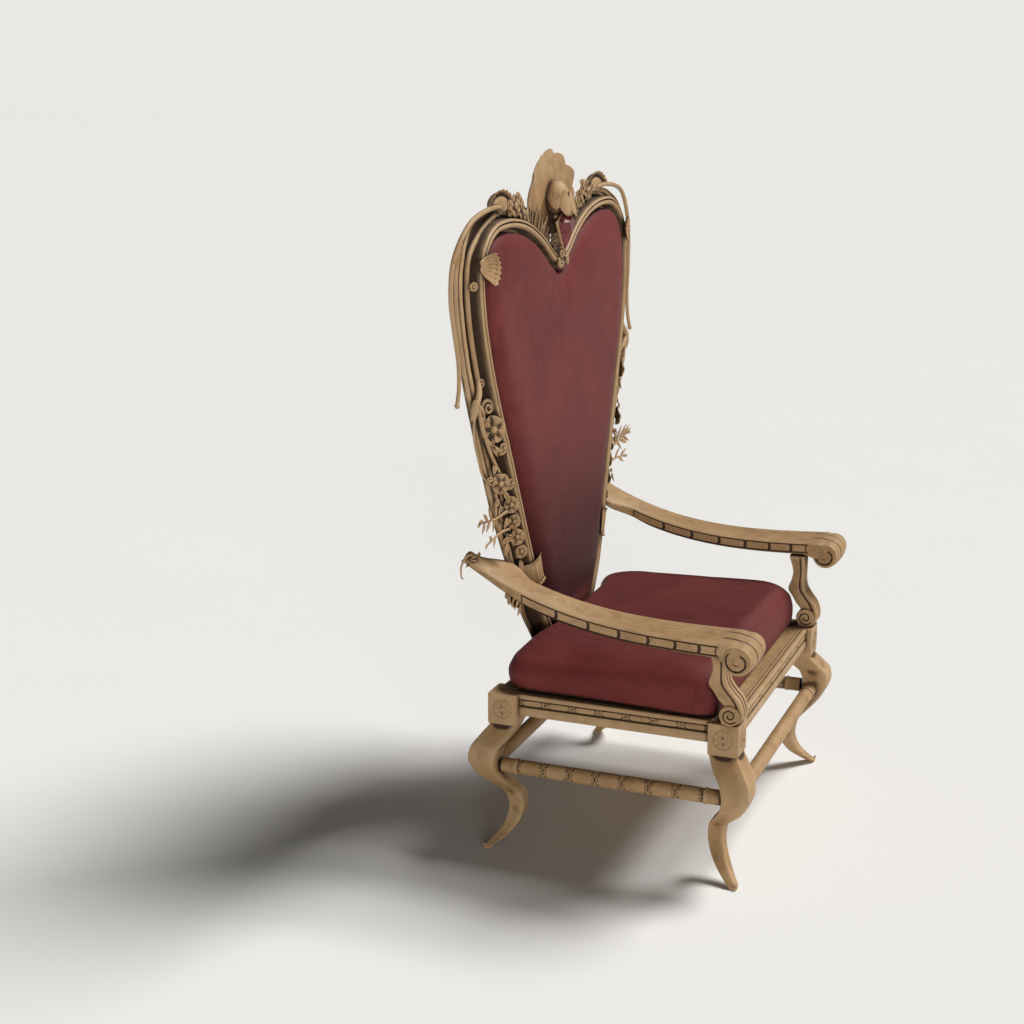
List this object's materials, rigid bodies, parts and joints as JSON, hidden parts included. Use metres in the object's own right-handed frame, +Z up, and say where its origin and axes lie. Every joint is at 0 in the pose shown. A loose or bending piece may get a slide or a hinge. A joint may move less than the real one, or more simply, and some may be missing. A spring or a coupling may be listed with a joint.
{
  "type": "throne",
  "caption": "Tall carved wooden throne with a heart-shaped leather back in a vine-carved border, scrolled arms, turned-out cabriole legs, stretchers and a loose leather cushion.",
  "frame": {"origin": "on the floor, under the middle of the whole throne", "axes": "+Z up, the seat faces -Y, the sitter's left is +X"},
  "size_m": [1.2522, 0.7062, 1.6545],
  "materials": {
    "oak": "waxed golden oak, dark in the carved grooves",
    "leather": "smooth deep red hide with a soft purple sheen",
    "stone": "faceted red stone, polished"
  },
  "bodies": {
    "root": {"leg_front_left": "oak", "leg_front_right": "oak", "leg_back_left": "oak", "leg_back_right": "oak", "seat_rail_left": "oak", "seat_rail_right": "oak", "seat_rail_front": "oak", "seat_rail_back": "oak", "seat_board": "oak", "stretcher_left": "oak", "stretcher_right": "oak", "stretcher_front": "oak", "stretcher_back": "oak", "back_frame": "oak", "back_pad": "leather", "back_panel": "oak", "seat_cushion": "leather", "arm_left": "oak", "arm_right": "oak", "arm_support_left": "oak", "arm_support_right": "oak", "vine_left": "oak", "vine_right": "oak", "fan_leaf_left": "oak", "fan_leaf_right": "oak", "wing_leaf_left": "oak", "wing_leaf_right": "oak", "bead_husk_left": "oak", "bead_husk_right": "oak", "crest_leaf": "oak", "crest_bud": "oak", "stone_setting": "oak", "crest_stone": "stone"}
  },
  "joints": []
}
